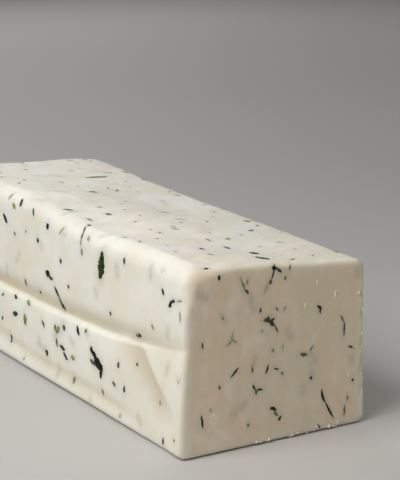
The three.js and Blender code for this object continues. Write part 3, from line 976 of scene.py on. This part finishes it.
# Crumbs that the knife left along the foot of the cut face and up its right edge.
CRUMB_COUNT = 46
CRUMB_SMALL = 0.35
CRUMB_LARGE = 1.15
CRUMB_RAGGED = (0.6, 1.1)
CRUMB_BAND = 3.5
CRUMB_CLEARANCE = 0.02  # what every crumb keeps from the table

# Most lie by the foot, between these shares of the way from the middle to the right edge.
CRUMBS_BY_FOOT = 0.7
FOOT_SHARES = (-0.3, 1)
FOOT_MARGIN = 3
FOOT_HEIGHT = 0.8

# The others lie up the right edge, between these heights.
EDGE_HEIGHTS = (6, 70)
EDGE_MARGIN = 0.6


def unit_lump():
    """The points and triangles of a coarse ball of radius 1."""
    model = bmesh.new()
    bmesh.ops.create_icosphere(model, subdivisions=1, radius=1)
    points = np.array([v.co for v in model.verts])
    triangles = np.array([[v.index for v in f.verts] for f in model.faces])
    model.free()
    return points, triangles


def crumb_mesh(random):
    """Small uneven lumps that sit on the cut face near its edges."""
    ball, triangles = unit_lump()
    by_foot = random.random(CRUMB_COUNT) < CRUMBS_BY_FOOT
    band = CRUMB_BAND * random.random(CRUMB_COUNT) ** 2
    along_foot = random.uniform(*FOOT_SHARES, CRUMB_COUNT) * (WIDTH / 2 - FOOT_MARGIN)
    across = np.where(by_foot, along_foot, WIDTH / 2 - EDGE_MARGIN - band)
    up = np.where(by_foot, FOOT_HEIGHT + band, random.uniform(*EDGE_HEIGHTS, CRUMB_COUNT))
    inner = np.stack([across, np.full(CRUMB_COUNT, BAND), up], axis=1)
    places = meet_surface(inner, np.broadcast_to(-ALONG, inner.shape), 2 * BAND)
    sizes = mix(CRUMB_SMALL, CRUMB_LARGE, random.random(CRUMB_COUNT) ** 2)
    lumps = ball * random.uniform(*CRUMB_RAGGED, (CRUMB_COUNT, len(ball), 1)) * sizes[:, None, None]
    points = (places[:, None] + lumps).reshape(-1, 3)
    points[:, 2] = np.maximum(points[:, 2], CRUMB_CLEARANCE)
    faces = triangles + np.arange(CRUMB_COUNT)[:, None, None] * len(ball)
    return points, faces.reshape(-1, 3)


def row_shift(points):
    """The move from the loaf's own coordinates to the frame's, in millimetres."""
    low, high = (np.array(corner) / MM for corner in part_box("cheese"))
    middle_x = (points[:, 0].min() + points[:, 0].max()) / 2
    return np.array([(low[0] + high[0]) / 2 - middle_x, low[1] + FLECK_PROUD, 0])


def make_piece(name, points, faces, material, smooth=True):
    mesh = bpy.data.meshes.new(name)
    mesh.from_pydata((points * MM).tolist(), [], faces.tolist())
    mesh.polygons.foreach_set("use_smooth", [smooth] * len(mesh.polygons))
    mesh.materials.append(material)
    mesh.update()
    piece = bpy.data.objects.new(name, mesh)
    bpy.context.collection.objects.link(piece)
    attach(piece, "root")
    return piece


def add_values(piece, name, values):
    attribute = piece.data.attributes.new(name, "FLOAT", "POINT")
    attribute.data.foreach_set("value", values.astype(np.float32))


def linear(red, green, blue):
    """A colour given in screen values from 0 to 255."""
    shares = [c / 255 for c in (red, green, blue)]
    return (*[c / 12.92 if c <= 0.04045 else ((c + 0.055) / 1.055) ** 2.4 for c in shares], 1)


class Nodes:
    """Short names for making and joining a material's nodes."""

    def __init__(self, name):
        self.material = bpy.data.materials.new(name)
        self.material.use_nodes = True
        self.tree = self.material.node_tree
        self.shader = self.tree.nodes["Principled BSDF"]

    def add(self, kind, **settings):
        node = self.tree.nodes.new(kind)
        for key, value in settings.items():
            setattr(node, key, value)
        return node

    def join(self, source, target):
        self.tree.links.new(source, target)

    def attribute(self, name):
        return self.add("ShaderNodeAttribute", attribute_name=name).outputs["Fac"]

    def place(self, squeeze):
        """Places in metres. Where they are squeezed, a pattern is drawn out."""
        coordinates = self.add("ShaderNodeTexCoord")
        mapping = self.add("ShaderNodeMapping")
        mapping.inputs["Scale"].default_value = squeeze
        self.join(coordinates.outputs["Object"], mapping.inputs["Vector"])
        return mapping.outputs["Vector"]

    def noise(self, scale, detail, squeeze=(1, 1, 1)):
        """Lumps, as many to the metre as the scale says."""
        node = self.add("ShaderNodeTexNoise")
        node.inputs["Scale"].default_value = scale
        node.inputs["Detail"].default_value = detail
        self.join(self.place(squeeze), node.inputs["Vector"])
        return node.outputs["Fac"]

    def spread(self, value, low, high, to_low=0, to_high=1):
        """Carries the values between low and high over to another range."""
        node = self.add("ShaderNodeMapRange", interpolation_type="SMOOTHSTEP")
        for key, number in (("From Min", low), ("From Max", high), ("To Min", to_low), ("To Max", to_high)):
            node.inputs[key].default_value = number
        self.join(value, node.inputs["Value"])
        return node.outputs["Result"]

    def feed(self, value, target):
        """Gives an input a fixed value or another node's output."""
        if isinstance(value, (float, tuple)):
            target.default_value = value
        else:
            self.join(value, target)

    def multiply(self, first, second):
        node = self.add("ShaderNodeMath", operation="MULTIPLY")
        self.feed(first, node.inputs[0])
        self.feed(second, node.inputs[1])
        return node.outputs[0]

    def blend(self, share, first, second):
        """A mix of two colours."""
        node = self.add("ShaderNodeMix", data_type="RGBA")
        self.join(share, node.inputs["Factor"])
        self.feed(first, node.inputs["A"])
        self.feed(second, node.inputs["B"])
        return node.outputs["Result"]

    def bump(self, height, distance, strength, below=None):
        node = self.add("ShaderNodeBump")
        node.inputs["Distance"].default_value = distance
        node.inputs["Strength"].default_value = strength
        self.join(height, node.inputs["Height"])
        if below is not None:
            self.join(below, node.inputs["Normal"])
        return node.outputs["Normal"]

    def set(self, **values):
        for key, value in values.items():
            self.shader.inputs[key.replace("_", " ")].default_value = value

    def finish(self, color, normal=None, roughness=None):
        self.join(color, self.shader.inputs["Base Color"])
        if normal is not None:
            self.join(normal, self.shader.inputs["Normal"])
        if roughness is not None:
            self.join(roughness, self.shader.inputs["Roughness"])
        return self.material


# Colours in screen values.
FILM_CREAM = linear(241, 237, 222)
FILM_PALE = linear(247, 245, 236)
FILM_WARM = linear(239, 231, 209)
# Painted shade for the film in its hollows, with some of its own tan.
FILM_TUCKED_SHADE = linear(214, 202, 172)
CUT_CREAM = linear(235, 218, 192)
CUT_PALE = linear(243, 232, 212)
CUT_GREENISH = linear(224, 222, 196)
STAIN_COLOR = linear(136, 148, 132)
# Painted shade in the cut's pits.
PIT_SHADE_COLOR = linear(212, 196, 156)
CRUMB_CREAM = linear(246, 232, 203)
CRUMB_PALE = linear(253, 245, 225)
FLOOR_GREY = linear(199, 198, 196)
FLOOR_PALE = linear(203, 202, 200)

GLOW_REACH = (1.0, 0.72, 0.42)  # how far red, green and blue light spread in the cheese, as shares
PIT_SHADE_STRENGTH = 0.5
FLECK_GLOSS_SPREAD = 0.08


def film_color(n):
    """The film: cream with paler clouds and warm patches, with painted shade where it is tucked in."""
    color = n.blend(n.spread(n.noise(34, 2), 0.35, 0.65), FILM_CREAM, FILM_PALE)
    color = n.blend(n.spread(n.noise(62, 2), 0.52, 0.72, to_high=0.45), color, FILM_WARM)
    # the tucked film gets its painted shade here
    return n.blend(n.attribute("tuck"), color, FILM_TUCKED_SHADE)


def cut_color(n):
    """The cut paste: cream with a pale mottle that the knife drew out upwards, and greenish patches."""
    mottle = n.spread(n.noise(150, 3), 0.3, 0.7)
    drawn = n.spread(n.noise(170, 3, squeeze=(1, 1, 0.3)), 0.3, 0.7)
    patches = n.spread(n.noise(26, 3, squeeze=(1, 1, 0.6)), 0.5, 0.75, to_high=0.5)
    color = n.blend(n.multiply(mottle, drawn), CUT_CREAM, CUT_PALE)
    return n.blend(patches, color, CUT_GREENISH)


def cut_pits(n, cut):
    """Small pits of the cut paste, in sparse groups."""
    cells = n.add("ShaderNodeTexVoronoi", feature="F1")
    cells.inputs["Scale"].default_value = 190
    n.join(n.place((1, 1, 0.55)), cells.inputs["Vector"])
    pits = n.multiply(n.spread(cells.outputs["Distance"], 0.04, 0.16, to_low=1, to_high=0), cut)
    return n.multiply(pits, n.spread(n.noise(75, 1), 0.6, 0.66))


def cheese_material():
    n = Nodes("cheese_paste")
    cut = n.attribute("cut")
    pits = cut_pits(n, cut)
    stained = n.multiply(n.attribute("stain"), n.spread(n.noise(420, 3), 0.25, 0.6, to_low=0.5))
    color = n.blend(cut, film_color(n), cut_color(n))
    color = n.blend(stained, color, STAIN_COLOR)
    # the pits get a painted shade
    color = n.blend(n.multiply(pits, PIT_SHADE_STRENGTH), color, PIT_SHADE_COLOR)
    grain = n.bump(n.noise(1300, 2), distance=0.00012, strength=0.25)
    ripples = n.noise(260, 3, squeeze=(1, 0.55, 1))
    rippled = n.bump(ripples, distance=0.0006, strength=0.22, below=grain)
    normal = n.bump(pits, distance=0.0007, strength=-0.6, below=rippled)
    roughness = n.spread(n.noise(210, 3), 0.3, 0.7, to_low=0.36, to_high=0.52)
    n.set(Subsurface_Weight=0.55, Subsurface_Radius=GLOW_REACH, Subsurface_Scale=0.0024)
    n.set(Specular_IOR_Level=0.4, Coat_Weight=0.06, Coat_Roughness=0.3)
    return n.finish(color, normal, roughness)


def fleck_material(name, dark, light, roughness):
    n = Nodes(name)
    color = n.blend(n.spread(n.noise(700, 3), 0.32, 0.68), dark, light)
    color = n.blend(n.attribute("film"), color, FILM_CREAM)
    normal = n.bump(n.noise(2400, 2), distance=0.00008, strength=0.4)
    smooth = roughness - FLECK_GLOSS_SPREAD
    rough = roughness + FLECK_GLOSS_SPREAD
    n.set(Specular_IOR_Level=0.1)
    return n.finish(color, normal, n.spread(n.noise(900, 2), 0.3, 0.7, smooth, rough))


FLECK_LOOKS = {
    "black": (linear(9, 13, 2), linear(30, 36, 10), 0.6),
    "green": (linear(22, 40, 6), linear(58, 82, 24), 0.6),
    "olive": (linear(124, 128, 56), linear(170, 172, 106), 0.6),
    # Pale bits coloured near white: partly their own pale tone, partly a painted glint.
    "pale": (linear(255, 243, 210), linear(255, 248, 224), 0.5),
}


def crumb_material():
    n = Nodes("cheese_crumb")
    color = n.blend(n.spread(n.noise(500, 2), 0.3, 0.7), CRUMB_CREAM, CRUMB_PALE)
    normal = n.bump(n.noise(1500, 2), distance=0.0001, strength=0.4)
    n.set(Roughness=0.6, Specular_IOR_Level=0.25)
    n.set(Subsurface_Weight=0.4, Subsurface_Radius=GLOW_REACH, Subsurface_Scale=0.002)
    return n.finish(color, normal)


def floor_material():
    n = Nodes("studio_floor")
    color = n.blend(n.spread(n.noise(1.5, 1), 0.3, 0.7), FLOOR_GREY, FLOOR_PALE)
    n.set(Roughness=0.7)
    return n.finish(color)


def add_camera(shift):
    data = bpy.data.cameras.new("camera")
    data.sensor_width = SENSOR
    data.lens = FOCAL_PIXELS / max(FRAME_WIDE, FRAME_HIGH) * SENSOR
    data.clip_start = 0.01
    data.clip_end = 20
    camera = bpy.data.objects.new("camera", data)
    camera.location = (np.array(CAMERA_PLACE) + LEFT_CORNER + shift) * MM
    camera.rotation_euler = Vector(CAMERA_LOOK).to_track_quat("-Z", "Y").to_euler()
    bpy.context.collection.objects.link(camera)
    bpy.context.scene.camera = camera


# The studio, in metres and watts.
Lamp = namedtuple("Lamp", "place aim size power color")
WARM_WHITE = (1.0, 0.99, 0.96)
LAMPS = {
    "key": Lamp((-0.85, -0.2, 0.95), (0, 0, 0.05), (0.9, 0.8), 10.6, WARM_WHITE),
    "near": Lamp((-0.33, -0.18, 0.6), (-0.03, -0.12, 0.06), (0.3, 0.25), 0.42, (1.0, 0.98, 0.94)),
    "back": Lamp((0.1, 1.9, 0.9), (0, 0, 0.05), (2.2, 0.8), 9.5, WARM_WHITE),
    "fill": Lamp((0.03, -0.36, 0.46), (0, -0.13, 0.07), (0.32, 0.24), 0.33, (1.0, 0.89, 0.78)),
}
SKY_COLOR = (0.95, 0.96, 1.0, 1)
SKY_STRENGTH = 0.13
FLOOR_REACH = 8


def add_lamps():
    for name, lamp in LAMPS.items():
        data = bpy.data.lights.new(name, "AREA")
        data.shape = "RECTANGLE"
        data.size, data.size_y = lamp.size
        data.energy = lamp.power
        data.color = lamp.color
        light = bpy.data.objects.new(name, data)
        light.location = lamp.place
        light.rotation_euler = (Vector(lamp.aim) - Vector(lamp.place)).to_track_quat("-Z", "Y").to_euler()
        bpy.context.collection.objects.link(light)


def add_sky():
    world = bpy.data.worlds.new("studio")
    world.use_nodes = True
    background = world.node_tree.nodes["Background"]
    background.inputs["Color"].default_value = SKY_COLOR
    background.inputs["Strength"].default_value = SKY_STRENGTH
    bpy.context.scene.world = world
    bpy.context.scene.view_settings.view_transform = "Standard"


def add_floor():
    mesh = bpy.data.meshes.new("floor")
    corners = [(x * FLOOR_REACH, y * FLOOR_REACH, 0) for x, y in ((-1, -1), (1, -1), (1, 1), (-1, 1))]
    mesh.from_pydata(corners, [], [(0, 1, 2, 3)])
    mesh.materials.append(floor_material())
    floor = bpy.data.objects.new("floor", mesh)
    bpy.context.collection.objects.link(floor)


def add_cheese():
    random = np.random.default_rng(RANDOM_SEED)
    strokes = all_strokes(random)
    smooth, quads = loaf_grid()
    skin, normals = skin_points(smooth)
    skin[:, 2] = np.maximum(skin[:, 2], 0)
    shift = row_shift(skin)
    cheese = make_piece("cheese_loaf", skin + shift, quads, cheese_material())
    add_values(cheese, "stain", stain_values(skin, strokes))
    add_values(cheese, "cut", cut_values(skin, normals))
    # how much painted shade each point gets in the film's hollows
    add_values(cheese, "tuck", tucked_shade_values(skin))
    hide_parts("cheese")
    for tone, look in FLECK_LOOKS.items():
        chosen = [s for s in strokes if s.tone == tone]
        points, faces, film = fleck_mesh(chosen, FILM_MOST[tone], random)
        flecks = make_piece("flecks_" + tone, points + shift, faces, fleck_material("pepper_" + tone, *look))
        add_values(flecks, "film", film)
    points, faces = crumb_mesh(random)
    make_piece("crumbs", points + shift, faces, crumb_material(), smooth=False)
    return shift


shift = add_cheese()
add_camera(shift)
add_lamps()
add_sky()
add_floor()
